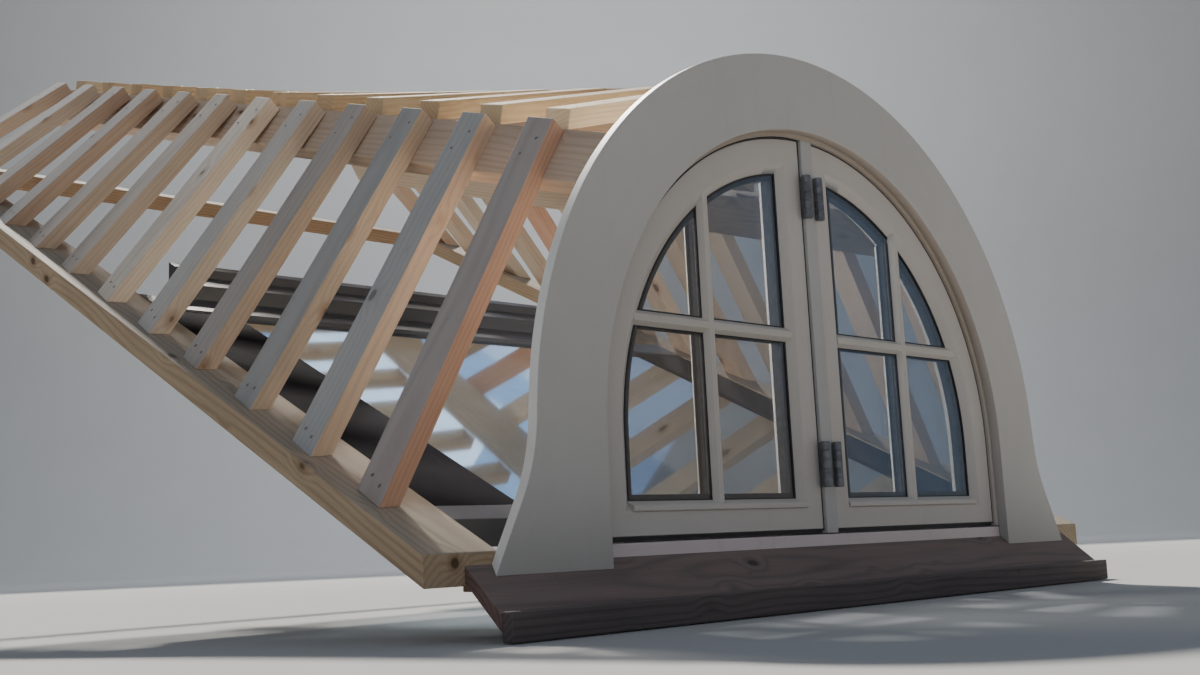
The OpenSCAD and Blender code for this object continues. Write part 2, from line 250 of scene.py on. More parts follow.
def paint(name, base, dark, rough=0.42, wear=0.10, grain=True, dirt_low=None, reveal_painted_light=None, edge_only=False, rim_painted_highlight=None, room=None, spec=0.45):
    """Brushed paint over timber: brush strokes along "gpos" length, grain that shows through,
    dust in patches and faint rain marks."""
    t = Tree(name)
    g = t.n("Attribute", attribute_name="gpos").outputs["Vector"]
    pos = t.n("TexCoord").outputs["Object"]
    big = t.noise(pos, 2.3, 4.0, 0.6)
    mid = t.noise(pos, 17.0, 4.0, 0.6)
    brush = t.noise(t.mapping(g, (9, 320, 320)), 1.0, 4.0, 0.6)
    col = t.mix(t.ramp(big, 0.30, 0.72), rgb(*base), rgb(base[0] * 0.93, base[1] * 0.925, base[2] * 0.91))
    col = t.mix(t.math("MULTIPLY", t.ramp(brush, 0.35, 0.75), 0.30), col, rgb(base[0] * 0.90, base[1] * 0.895, base[2] * 0.87))
    rain = t.noise(t.mapping(pos, (26, 26, 2.0)), 1.0, 4.0, 0.65)
    col = t.mix(t.ramp(rain, 0.56, 0.80, 0.0, wear * 1.6), col, rgb(*dark))
    specks = t.noise(pos, 130.0, 2.0, 0.5)
    col = t.mix(t.ramp(specks, 0.70, 0.78, 0.0, wear * 2.2), col, rgb(*dark))
    if dirt_low is not None:
        z = t.n("SeparateXYZ")
        t.link(pos, z.inputs[0])
        low = t.ramp(t.math("ADD", z.outputs[2], t.math("MULTIPLY", mid, 0.06)), dirt_low[0], dirt_low[1], 0.42, 0.0)
        col = t.mix(low, col, rgb(*dark))
    if room is not None:
        # painted light: paint on the room side of the glass is made near-white, standing in for sunlight falling on it
        # from inside
        ry = t.n("SeparateXYZ")
        t.link(pos, ry.inputs[0])
        col = t.mix(t.ramp(ry.outputs[1], -0.019, -0.012), col, rgb(*room))
    if reveal_painted_light is not None:
        # painted tan light on the inner faces under the arch, as bounced up from sunlit ground; it fades towards the
        # foot
        q = t.n("SeparateXYZ")
        t.link(pos, q.inputs[0])
        up = t.math("SUBTRACT", q.outputs[2], SPRING)
        rad = t.math("SQRT", t.math("ADD", t.math("MULTIPLY", q.outputs[0], q.outputs[0]), t.math("MULTIPLY", up, up)))
        m = t.math("MULTIPLY", t.ramp(rad, 0.570, 0.586), t.ramp(rad, 0.618, 0.640, 1.0, 0.0))
        m = t.math("MULTIPLY", m, t.ramp(t.math("ADD", q.outputs[2], t.math("MULTIPLY", mid, 0.10)), 0.16, 0.62, 0.30, 1.0))
        if edge_only:
            nq = t.n("SeparateXYZ")
            t.link(t.n("TexCoord").outputs["Normal"], nq.inputs[0])
            m = t.math("MULTIPLY", m, t.ramp(t.math("ABSOLUTE", nq.outputs[1]), 0.35, 0.85, 1.0, 0.0))
        m = t.math("MULTIPLY", m, t.math("MULTIPLY_ADD", t.ramp(brush, 0.3, 0.7), -0.15, 1.0))
        reveal_lit_to_shaded = rgb(*reveal_painted_light)
        # on the plate's inner edge the tan is lighter at the front and darker deeper in: painted shade
        if edge_only:
            reveal_lit_to_shaded = t.mix(t.ramp(q.outputs[1], -0.065, -0.046), rgb(reveal_painted_light[0] * 1.16, reveal_painted_light[1] * 1.17, reveal_painted_light[2] * 1.20), rgb(reveal_painted_light[0] * 0.74, reveal_painted_light[1] * 0.73, reveal_painted_light[2] * 0.71))
        col = t.mix(m, col, reveal_lit_to_shaded)
        if rim_painted_highlight is not None:
            # painted highlight: the outer edge of the plate is made near-white, far lighter than its face, standing in
            # for sunlight on that edge
            edge = t.math("MULTIPLY", t.ramp(rad, 0.74, 0.76), t.ramp(t.math("ABSOLUTE", nq.outputs[1]), 0.25, 0.75, 1.0, 0.0))
            col = t.mix(t.math("MULTIPLY", edge, t.math("MULTIPLY_ADD", mid, -0.25, 1.0)), col, rgb(*rim_painted_highlight))
    r = t.math("MULTIPLY_ADD", mid, 0.20, rough - 0.08)
    h = t.math("ADD", t.math("MULTIPLY", brush, 0.6), t.math("MULTIPLY", mid, 0.35))
    if grain:
        gr = t.noise(t.mapping(g, (3, 130, 130)), 1.0, 3.0, 0.6)
        h = t.math("ADD", h, t.math("MULTIPLY", gr, 0.5))
    nrm = t.bump(h, 0.35, 0.0008)
    return t.finish(col, r, nrm, spec=spec)


def plain(name, base, other, scale=60.0, rough=0.6, spec=0.4, metallic=0.0, bump=0.3):
    t = Tree(name)
    pos = t.n("TexCoord").outputs["Object"]
    a = t.noise(pos, scale, 5.0, 0.65)
    b = t.noise(pos, scale * 6, 3.0, 0.6)
    col = t.mix(t.ramp(a, 0.35, 0.70), rgb(*base), rgb(*other))
    r = t.math("MULTIPLY_ADD", b, 0.25, rough - 0.12)
    nrm = t.bump(b, bump, 0.0004)
    return t.finish(col, r, nrm, metallic=metallic, spec=spec)


def glass(name, tint, sky, least, most, power, smear=0.0, warm_tone_and_painted_light=None):
    """Thin pane: shows what is behind it, and mirrors more the flatter it is seen. Its mirror colour is tinted sky
    blue, and tan towards the lower left: painted reflections of sky and of brown timber."""
    t = Tree(name)
    pos = t.n("TexCoord").outputs["Object"]
    clear = t.n("BsdfTransparent")
    clear.inputs["Color"].default_value = rgb(*tint)
    p = t.n("BsdfPrincipled")
    dust = t.noise(pos, 9.0, 5.0, 0.7)
    # painted reflection: the mirror colour is tinted sky blue
    col = t.mix(t.ramp(dust, 0.35, 0.75), rgb(*sky), rgb(sky[0] * 0.86, sky[1] * 0.88, sky[2] * 0.90))
    # painted reflection: the mirror colour turns tan on the lower left
    if warm_tone_and_painted_light is not None:
        q = t.n("SeparateXYZ")
        t.link(pos, q.inputs[0])
        side = t.math("ADD", q.outputs[0], t.math("MULTIPLY", t.math("SUBTRACT", q.outputs[2], 0.50), 0.70))
        col = t.mix(t.ramp(t.math("ADD", side, t.math("MULTIPLY", dust, 0.20)), -0.36, 0.22), rgb(*warm_tone_and_painted_light), col)
    t.put(p.inputs["Base Color"], col)
    p.inputs["Metallic"].default_value = 1.0
    t.put(p.inputs["Roughness"], t.math("MULTIPLY_ADD", dust, 0.05, 0.005 + smear))
    wave = t.noise(pos, 3.0, 1.0, 0.4)
    t.link(t.bump(wave, 0.03, 0.002), p.inputs["Normal"])
    lw = t.n("LayerWeight")
    lw.inputs["Blend"].default_value = 0.5
    f = t.math("MULTIPLY_ADD", t.math("POWER", lw.outputs["Facing"], power), most, least, clamp=True)
    mix = t.n("MixShader")
    t.link(f, mix.inputs[0])
    t.link(clear.outputs[0], mix.inputs[1])
    t.link(p.outputs[0], mix.inputs[2])
    t.link(mix.outputs[0], t.out.inputs["Surface"])
    return t.m


M = {}
# Plate, frame, post, sash and bars carry one cream-white paint. Here their outer faces are set as greyed creams,
# darkest on the post, as painted shade; only the outer edge of the plate and the faces behind the glass get near-white.
M["plate"] = paint("plate_paint_m", (0.488, 0.480, 0.468), (0.27, 0.25, 0.23), rough=0.50, wear=0.10, dirt_low=(0.02, 0.22), reveal_painted_light=(0.455, 0.398, 0.342), edge_only=True, rim_painted_highlight=(0.84, 0.83, 0.80))
M["frame"] = paint("frame_paint_m", (0.540, 0.505, 0.475), (0.27, 0.23, 0.19), rough=0.45, wear=0.12, reveal_painted_light=(0.375, 0.322, 0.272))
M["post"] = paint("post_paint_m", (0.430, 0.432, 0.435), (0.24, 0.22, 0.20), rough=0.45, wear=0.10)
M["sill"] = paint("sill_paint_m", (0.640, 0.560, 0.570), (0.30, 0.25, 0.23), rough=0.45, wear=0.14)
M["sash"] = paint("sash_paint_m", (0.515, 0.492, 0.472), (0.28, 0.25, 0.22), rough=0.42, wear=0.09, room=(0.82, 0.80, 0.75))
M["bar"] = paint("bar_paint_m", (0.530, 0.508, 0.480), (0.28, 0.25, 0.22), rough=0.40, wear=0.08, grain=False, room=(0.82, 0.80, 0.75))
M["rail"] = paint("rail_paint_m", (0.058, 0.064, 0.078), (0.13, 0.125, 0.12), rough=0.34, wear=0.16)
M["apron"] = wood("apron_stain_m", (0.250, 0.152, 0.134), (0.085, 0.058, 0.058), (0.040, 0.027, 0.025), (0.235, 0.210, 0.208), 0.50, rough=0.70, tone_gain=0.18, dirt=0.5)
M["nosing"] = wood("nosing_stain_m", (0.145, 0.118, 0.113), (0.066, 0.054, 0.054), (0.024, 0.017, 0.015), (0.165, 0.148, 0.15), 0.38, rough=0.72, tone_gain=0.18, dirt=0.5)
# Lining boards set near-black, darker than black paint, so that they also carry the deep shade of the gap beside the
# lower glass: painted shade.
M["lining"] = paint("lining_near_black_m", (0.010, 0.010, 0.014), (0.026, 0.024, 0.024), rough=0.88, wear=0.16, spec=0.05)
M["rafter"] = wood("rafter_timber_m", (0.585, 0.455, 0.345), (0.390, 0.265, 0.185), (0.150, 0.068, 0.030), (0.402, 0.415, 0.432), 0.90, rough=0.74, ring_mix=0.26)
M["plank"] = wood("plank_timber_m", (0.650, 0.515, 0.342), (0.455, 0.318, 0.195), (0.150, 0.075, 0.034), (0.50, 0.45, 0.38), 0.30, rough=0.72, ring_mix=0.28)
M["board"] = wood("board_timber_m", (0.740, 0.590, 0.450), (0.480, 0.350, 0.255), (0.13, 0.07, 0.04), (0.40, 0.36, 0.33), 0.25, rough=0.74, ring_mix=0.30)
M["base"] = wood("base_timber_m", (0.430, 0.320, 0.215), (0.240, 0.160, 0.100), (0.11, 0.06, 0.03), (0.30, 0.29, 0.275), 0.55, rough=0.78)
M["gasket"] = plain("gasket_m", (0.018, 0.019, 0.021), (0.035, 0.036, 0.040), 90.0, 0.55, 0.4)
M["spacer"] = plain("spacer_m", (0.048, 0.051, 0.058), (0.072, 0.076, 0.086), 70.0, 0.45, 0.5)
M["steel"] = plain("hinge_steel_m", (0.215, 0.225, 0.250), (0.120, 0.125, 0.140), 55.0, 0.40, 0.5, metallic=0.70)
M["nail"] = plain("nail_m", (0.30, 0.29, 0.28), (0.16, 0.12, 0.09), 200.0, 0.45, 0.5, metallic=0.8)
M["glass"] = glass("window_glass_m", (0.862, 0.876, 0.895), (0.58, 0.74, 0.94), 0.10, 0.85, 2.6, warm_tone_and_painted_light=(0.80, 0.66, 0.54))
M["low_glass"] = glass("lower_glass_m", (0.62, 0.69, 0.75), (0.86, 0.95, 1.00), 0.14, 0.86, 1.7, 0.01)


# ---------------------------------------------------------------- mesh helpers
def make(name, verts, faces, mat, slot, gpos=None, tone=None, bevel=0.0, segs=2, ride=True, angle=28.0):
    me = bpy.data.meshes.new(name)
    me.from_pydata([tuple(v) for v in verts], [], faces)
    me.validate()
    a = me.attributes.new("gpos", "FLOAT_VECTOR", "POINT")
    gp = gpos if gpos is not None else [tuple(v) for v in verts]
    a.data.foreach_set("vector", [c for p in gp for c in p])
    b = me.attributes.new("tone", "FLOAT_COLOR", "POINT")
    tn = tone if tone is not None else [(0.5, 0.5, 0.5)] * len(verts)
    b.data.foreach_set("color", [c for p in tn for c in (*p, 1.0)[:4]])
    bm = bmesh.new()
    bm.from_mesh(me)
    bmesh.ops.recalc_face_normals(bm, faces=bm.faces)
    bm.to_mesh(me)
    bm.free()
    ob = bpy.data.objects.new(name, me)
    bpy.context.scene.collection.objects.link(ob)
    me.materials.append(mat)
    for p in me.polygons:
        p.use_smooth = True
    if bevel > 0:
        m = ob.modifiers.new("edge", "BEVEL")
        m.width = bevel
        m.segments = segs
        m.limit_method = "ANGLE"
        m.angle_limit = math.radians(angle)
        m.harden_normals = True
        m.use_clamp_overlap = True
    else:
        me.set_sharp_from_angle(angle=math.radians(angle))
    if ride:
        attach(ob, "root")
    return ob


class Soup:
    """Collects many solids into one mesh, with the grain coordinates of each."""

    def __init__(self):
        self.v, self.f, self.g, self.t = [], [], [], []

    def add(self, verts, faces, gpos=None, tone=(0.5, 0.5, 0.5)):
        k = len(self.v)
        self.v += [tuple(p) for p in verts]
        self.f += [tuple(i + k for i in f) for f in faces]
        self.g += [tuple(p) for p in (gpos if gpos is not None else verts)]
        self.t += [tone] * len(verts)

    def make(self, name, mat, slot, **kw):
        return make(name, self.v, self.f, mat, slot, self.g, self.t, **kw)


def box_faces():
    return [(0, 1, 3, 2), (4, 6, 7, 5), (0, 4, 5, 1), (2, 3, 7, 6), (0, 2, 6, 4), (1, 5, 7, 3)]


def islands(node):
    """Closed solids of a CAD node, with flat faces joined up."""
    bm = bmesh.new()
    bm.from_mesh(NODES[node].data)
    bmesh.ops.remove_doubles(bm, verts=bm.verts, dist=2e-5)
    bmesh.ops.dissolve_limit(bm, angle_limit=math.radians(0.6), verts=bm.verts, edges=bm.edges)
    bm.verts.ensure_lookup_table()
    seen, out = set(), []
    for v0 in bm.verts:
        if v0.index in seen or not v0.link_faces:
            continue
        stack, part = [v0], []
        seen.add(v0.index)
        while stack:
            v = stack.pop()
            part.append(v)
            for e in v.link_edges:
                o = e.other_vert(v)
                if o.index not in seen:
                    seen.add(o.index)
                    stack.append(o)
        idx = {v.index: i for i, v in enumerate(part)}
        faces = {f for v in part for f in v.link_faces}
        faces = sorted(faces, key=lambda f: f.index)
        out.append(([v.co.copy() for v in part], [tuple(idx[v.index] for v in f.verts) for f in faces],
                    [(f.calc_area(), f.normal.copy()) for f in faces]))
    bm.free()
    out.sort(key=lambda s: (round(sum(c.y for c in s[0]) / len(s[0]), 4), round(s[0][0].x, 4)))
    return out


def grain_axes(verts, faces, areas):
    best, u = 0.0, Vector((1, 0, 0))
    for f in faces:
        for i in range(len(f)):
            d = verts[f[i]] - verts[f[i - 1]]
            if d.length > best:
                best, u = d.length, d.normalized()
    broad = max((a for a in areas if abs(a[1].dot(u)) < 0.3), key=lambda a: a[0])[1]
    w = (broad - u * broad.dot(u)).normalized()
    return u, w.cross(u), w


TONES = {}


def timber(node, mat, slot, bevel=0.0018, tones=None, name=None, wander=0.0):
    """Stands for a CAD timber: the same solid with worn arrises and its own grain."""
    s = Soup()
    for k, (verts, faces, areas) in enumerate(islands(node)):
        u, v, w = grain_axes(verts, faces, areas)
        c = sum(verts, Vector()) / len(verts)
        shift = Vector((rnd.uniform(-9, 9), rnd.uniform(-0.02, 0.02), rnd.uniform(-0.01, 0.01)))
        gp = [((p - c).dot(u) + shift.x, (p - c).dot(v) + shift.y, (p - c).dot(w) + shift.z) for p in verts]
        tone = tones[k] if tones and k < len(tones) else (rnd.uniform(0.3, 0.7), rnd.uniform(0.2, 0.7), rnd.random())
        s.add(verts, faces, gp, tone)
    ob = s.make(name or "v_" + node, mat, slot, bevel=bevel)
    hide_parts(node)
    return ob


# ---------------------------------------------------------------- outlines
def half_arch(r, x0, z0, n=96, side=1):
    """Round-headed half light: from the foot of the post round to its top."""
    pts = [(x0, z0)]
    pts += [(x0 + (r - x0) * i / 6, z0) for i in range(1, 7)]
    pts += [(r, z0 + (SPRING - z0) * i / 4) for i in range(1, 5)]
    a1 = math.acos(x0 / r)
    pts += [(r * math.cos(a1 * i / n), SPRING + r * math.sin(a1 * i / n)) for i in range(1, n + 1)]
    top = SPRING + r * math.sin(a1)
    pts += [(x0, top + (z0 - top) * i / 8) for i in range(1, 8)]
    return [(side * x, z) for x, z in pts]


def path_len(pts):
    out, s = [0.0], 0.0
    for a, b in zip(pts, pts[1:]):
        s += math.hypot(b[0] - a[0], b[1] - a[1])
        out.append(s)
    return out


def loft(loops, closed_loop=True, closed_profile=True, caps=False):
    """Quads between loops of equal length. loops: lists of (x, y, z)."""
    n = len(loops[0])
    verts = [p for lp in loops for p in lp]
    faces = []
    m = len(loops)
    for i in range(m if closed_profile else m - 1):
        a, b = i * n, ((i + 1) % m) * n
        for j in range(n if closed_loop else n - 1):
            k = (j + 1) % n
            faces.append((a + j, a + k, b + k, b + j))
    if caps and not closed_loop:
        faces.append(tuple(i * n for i in range(m)))
        faces.append(tuple(i * n + n - 1 for i in reversed(range(m))))
    return verts, faces


def ring_gpos(loops2d, ys, n_along):
    """Grain runs along the outline."""
    out = []
    for k, (lp, y) in enumerate(zip(loops2d, ys)):
        s = path_len(lp)
        for j, (x, z) in enumerate(lp):
            out.append((s[j], k * 0.012, y))
    return out


def sash(side, name, node):
    spec = [(SASH_R, SX0, SZ0, SASH_Y0), (GR + BEAD_W, GX0 - BEAD_W, GZ0 - BEAD_W, SASH_Y0),
            (GR + 0.0008, GX0 - 0.0008, GZ0 - 0.0008, GLASS_Y - 0.0008), (GR, GX0, GZ0, GLASS_Y), (GR, GX0, GZ0, SASH_Y1),
            (SASH_R, SX0, SZ0, SASH_Y1)]
    l2 = [half_arch(r, x, z, side=side) for r, x, z, _ in spec]
    loops = [[(x, y, z) for x, z in lp] for lp, (_, _, _, y) in zip(l2, spec)]
    v, f = loft(loops)
    gp = ring_gpos(l2, [s[3] for s in spec], len(l2[0]))
    ob = make(name, v, f, M["sash"], "sash_paint", gp, bevel=0.0012)
    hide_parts(node)
    return ob


def pane(side, y0, y1, s, grow=0.0):
    lp = half_arch(GR + grow, GX0 - grow, GZ0 - grow, side=side)
    n = len(lp)
    v = [(x, y0, z) for x, z in lp] + [(x, y1, z) for x, z in lp]
    f = [tuple(range(n)), tuple(reversed(range(n, 2 * n)))]
    f += [(j, n + j, n + (j + 1) % n, (j + 1) % n) for j in range(n)]
    s.add(v, f)


def ring(side, d0, d1, y0, y1, s):
    """Strip all round the glass, from d0 to d1 inside its edge."""
    spec = [(d0, y0), (d1, y0), (d1, y1), (d0, y1)]
    loops = [[(x, y, z) for x, z in half_arch(GR - d, GX0 + d, GZ0 + d, side=side)] for d, y in spec]
    v, f = loft(loops)
    s.add(v, f)


def prism(a, b, prof, across, up, s, tone=(0.5, 0.5, 0.5)):
    """Bar from a to b. prof: points (sideways, outward)."""
    a, b = Vector(a), Vector(b)
    u = (b - a).normalized()
    n = len(prof)
    v = [a + across * p[0] + up * p[1] for p in prof] + [b + across * p[0] + up * p[1] for p in prof]
    f = [tuple(reversed(range(n))), tuple(range(n, 2 * n))]
    f += [(j, (j + 1) % n, n + (j + 1) % n, n + j) for j in range(n)]
    L = (b - a).length
    g = [(0.0, p[0], p[1]) for p in prof] + [(L, p[0], p[1]) for p in prof]
    s.add(v, f, g, tone)


BAR_X, BAR_Z0, BAR_Z1 = 0.308, 0.436, 0.463


def glazing(side, tag):
    """Bars, spacers, gaskets and panes of one sash."""
    X, Z, OUTW = Vector((1, 0, 0)), Vector((0, 0, 1)), Vector((0, -1, 0))
    zc = (BAR_Z0 + BAR_Z1) / 2
    hb = (BAR_Z1 - BAR_Z0) / 2
    bars = Soup()
    w = 0.014

    def prof(half, y_face, y_base, flat):
        return [(-half, -y_base), (-half, -y_base + 0.003), (-flat, -y_face), (flat, -y_face), (half, -y_base + 0.003), (half, -y_base)]

    r_in = 0.549
    top = SPRING + math.sqrt(r_in ** 2 - BAR_X ** 2)
    out = prof(w, SASH_Y0 + 0.0025, GLASS_Y + 0.0002, 0.0065)
    prism((side * BAR_X, 0, GZ0 - 0.010), (side * BAR_X, 0, top), out, X, OUTW, bars)
    xe = math.sqrt(r_in ** 2 - (zc - SPRING) ** 2)
    outh = prof(hb, SASH_Y0 + 0.0030, GLASS_Y + 0.0004, 0.0062)
    prism((side * (GX0 - 0.010), 0, zc), (side * xe, 0, zc), outh, Z, OUTW, bars)
    # the same bars on the room side, on black tape
    top2 = SPRING + math.sqrt((GR - 0.001) ** 2 - BAR_X ** 2)
    xe2 = math.sqrt((GR - 0.001) ** 2 - (zc - SPRING) ** 2)
    inn = [(-w, -0.0048), (-w, -0.0075), (-0.0065, -0.0150), (0.0065, -0.0150), (w, -0.0075), (w, -0.0048)]
    prism((side * BAR_X, 0, GZ0 + 0.0005), (side * BAR_X, 0, top2), inn, X, OUTW, bars)
    prism((side * (GX0 + 0.0005), 0, zc), (side * xe2, 0, zc), [(p[0] * hb / w, p[1]) for p in inn], Z, OUTW, bars)
    bars.make("%s_glazing_bars" % tag, M["bar"], "sash_paint", bevel=0.0008)
    # dark edge of the sealed unit, all round and behind the bars
    sp = Soup()
    ring(side, 0.0002, 0.0118, -0.0226, 0.0006, sp)
    bs = [(-0.0122, 0.0226), (0.0122, 0.0226), (0.0122, -0.0006), (-0.0122, -0.0006)]
    prism((side * BAR_X, 0, GZ0 + 0.004), (side * BAR_X, 0, top2 - 0.004), bs, X, OUTW, sp)
    bs2 = [(-0.0118, 0.0224), (0.0118, 0.0224), (0.0118, -0.0004), (-0.0118, -0.0004)]
    prism((side * (GX0 + 0.004), 0, zc), (side * (xe2 - 0.004), 0, zc), bs2, Z, OUTW, sp)
    sp.make("%s_unit_spacers" % tag, M["spacer"], "window_glass")
    # black gaskets between timber and glass, outside and inside
    ga = Soup()
    ring(side, -0.0006, 0.0030, GLASS_Y - 0.0024, GLASS_Y - 0.0001, ga)
    ring(side, 0.0001, 0.0016, 0.0011, 0.0052, ga)
    gb = [(-w - 0.0028, 0.0231), (-w - 0.0028, 0.0248), (w + 0.0028, 0.0248), (w + 0.0028, 0.0231)]
    prism((side * BAR_X, 0, GZ0 + 0.002), (side * BAR_X, 0, top2 - 0.002), gb, X, OUTW, ga)
    gh = [(-hb - 0.0028, 0.0232), (-hb - 0.0028, 0.0247), (hb + 0.0028, 0.0247), (hb + 0.0028, 0.0232)]
    prism((side * (GX0 + 0.002), 0, zc), (side * (xe2 - 0.002), 0, zc), gh, Z, OUTW, ga)
    gi = [(-w, -0.0011), (-w, -0.0050), (w, -0.0050), (w, -0.0011)]
    prism((side * BAR_X, 0, GZ0 + 0.001), (side * BAR_X, 0, top2 - 0.0005), gi, X, OUTW, ga)
    gj = [(-hb, -0.0012), (-hb, -0.0049), (hb, -0.0049), (hb, -0.0012)]
    prism((side * (GX0 + 0.001), 0, zc), (side * (xe2 - 0.0005), 0, zc), gj, Z, OUTW, ga)
    ga.make("%s_gaskets" % tag, M["gasket"], "window_glass")
    # seal in the gap round the sash; along the upper arch of the left sash it is pushed forward to show as a dark line:
    # painted contact shadow
    se = Soup()
    spec = [(0.0003, -0.0377), (0.0027, -0.0377), (0.0027, -0.0300), (0.0003, -0.0300)]
    loops = []
    for d, y in spec:
        lp = []
        for x, z in half_arch(SASH_R + d, SX0 - d, SZ0 - d, side=side):
            a = math.degrees(math.atan2(z - SPRING, abs(x)))
            shade_line_part = math.hypot(x, z - SPRING) > 0.55 and side < 0
            k = min(max((a - 9) / 12, 0), 1) * min(max((89 - a) / 6, 0), 1) if shade_line_part else 0.0
            lp.append((x, y - 0.0071 * k if y < -0.035 else y, z))
        loops.append(lp)
    v, f = loft(loops)
    se.add(v, f)
    # brush strip under the bottom rail
    xa, xb = side * (SX0 + 0.001), side * (SASH_R - 0.001)
    bp = [(0.0656, 0.0335), (0.0656, 0.0285), (0.0738, 0.0290), (0.0738, 0.0330)]
    prism((xa, 0, 0), (xb, 0, 0), bp, Z, OUTW, se)
    se.make("%s_sash_seal" % tag, M["gasket"], "frame_paint")
    # weather bead under the panes, proud of the rail
    wb = Soup()
    xo = math.sqrt((GR + BEAD_W) ** 2 - (0.118 - SPRING) ** 2) - 0.0005
    xi = GX0 - BEAD_W + 0.0005
    wprof = [(-0.1150, 0.0352), (-0.1150, 0.0408), (-0.1163, 0.0420), (-0.1236, 0.0420), (-0.1250, 0.0408), (-0.1336, 0.0236), (-0.1322, 0.0225)]
    wprof = [(-a, b) for a, b in wprof]
    prism((side * xi, 0, 0), (side * xo, 0, 0), wprof, Z, OUTW, wb)
    wb.make("%s_weather_bead" % tag, M["bar"], "sash_paint", bevel=0.0006)
    gl = Soup()
    pane(side, GLASS_Y, GLASS_Y + 0.004, gl)
    pane(side, -0.003, 0.001, gl)
    ob = gl.make("%s_panes" % tag, M["glass"], "window_glass", angle=20)
    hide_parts("%s_glass" % tag)


# ---------------------------------------------------------------- face plate
def plate_loops(y):
    """Outer and inner outline of the plate at depth y, left foot to right foot."""
    zb = FOOT_H + APRON_TAN * (y - FRONT)
    z0 = SPRING + 0.040
    x1 = PLATE_R + FLARE_R * (1 - math.cos(FLARE_A))
    z1 = z0 - FLARE_R * math.sin(FLARE_A)
    half = []
    xb = x1 + (z1 - zb) * math.tan(FLARE_A)
    for i in range(8):
        t = i / 8
        half.append((xb + (x1 - xb) * t, zb + (z1 - zb) * t))
    for i in range(17):
        a = FLARE_A * (1 - i / 16)
        half.append((PLATE_R + FLARE_R * (1 - math.cos(a)), z0 - FLARE_R * math.sin(a)))
    dz = z0 - SPRING
    a0 = 0.0
    # the short straight length between the flare and the arch is tangent to both
    n = 110
    for i in range(0, n + 1):
        a = a0 + (math.pi / 2 - a0) * i / n
        half.append((PLATE_R * math.cos(a), SPRING + PLATE_R * math.sin(a)) if i else (PLATE_R, SPRING + dz * 0.4))
    # points below z0 on the arch would sit inside the straight length
    half = [p for p in half[:25]] + [p for p in half[25:] if p[1] > z0]
    half = half[:25] + [(math.sqrt(max(PLATE_R ** 2 - (z - SPRING) ** 2, 0)), z) if False else (x, z) for x, z in half[25:]]
    m = len(half)
    inner = []
    s = path_len(half)
    k_spring = 25
    for j in range(m):
        if j < k_spring:
            t = j / k_spring
            inner.append((PLATE_OPEN_R, zb + (SPRING - zb) * t))
        else:
            t = (j - k_spring) / (m - 1 - k_spring)
            a = math.pi / 2 * t
            inner.append((PLATE_OPEN_R * math.cos(a), SPRING + PLATE_OPEN_R * math.sin(a)))
    outer = [(-x, z) for x, z in half] + [(x, z) for x, z in reversed(half[:-1])]
    inn = [(-x, z) for x, z in inner] + [(x, z) for x, z in reversed(inner[:-1])]
    return outer, inn


def face_plate():
    of, inf = plate_loops(FRONT)
    ob_, inb = plate_loops(FRONT + 0.022)
    l2 = [of, inf, inb, ob_]
    ys = [FRONT, FRONT, FRONT + 0.022, FRONT + 0.022]
    loops = [[(x, y, z) for x, z in lp] for lp, y in zip(l2, ys)]
    v, f = loft(loops, closed_loop=False, caps=True)
    gp = ring_gpos(l2, ys, 0)
    ob = make("arched_face_plate", v, f, M["plate"], "plate_paint", gp, bevel=0.0016, segs=3)
    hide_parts("face_plate")


def u_path(r, z0, n=120):
    pts = [(-r, z0 + (SPRING - z0) * i / 5) for i in range(6)]
    pts += [(-r * math.cos(math.pi * i / n), SPRING + r * math.sin(math.pi * i / n)) for i in range(1, n)]
    pts += [(r, SPRING - (SPRING - z0) * i / 5) for i in range(6)]
    return pts


def window_frame():
    spec = [(FRAME_R, FRAME_Y0), (OPEN_R, FRAME_Y0), (OPEN_R, STOP_Y), (STOP_R, STOP_Y), (STOP_R, FRAME_Y1), (FRAME_R, FRAME_Y1)]
    l2 = [u_path(r, SILL_TOP) for r, _ in spec]
    loops = [[(x, y, z) for x, z in lp] for lp, (_, y) in zip(l2, spec)]
    v, f = loft(loops, closed_loop=False, caps=True)
    ob = make("arched_window_frame", v, f, M["frame"], "frame_paint", ring_gpos(l2, [s[1] for s in spec], 0), bevel=0.0014)
    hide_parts("window_frame")
    # rubber seal that the sashes close on
    s = Soup()
    spec = [(OPEN_R - 0.004, STOP_Y - 0.0005), (OPEN_R - 0.011, STOP_Y - 0.0015), (OPEN_R - 0.011, STOP_Y + 0.001), (OPEN_R - 0.004, STOP_Y + 0.001)]
    loops = [[(x, y, z) for x, z in u_path(r, SILL_TOP + 0.001)] for r, y in spec]
    v, f = loft(loops, closed_loop=False, caps=True)
    s.add(v, f)
    s.make("frame_seal", M["gasket"], "frame_paint")


face_plate()
window_frame()
sash(1, "right_sash_frame", "right_sash")
sash(-1, "left_sash_frame", "left_sash")
glazing(1, "right")
glazing(-1, "left")

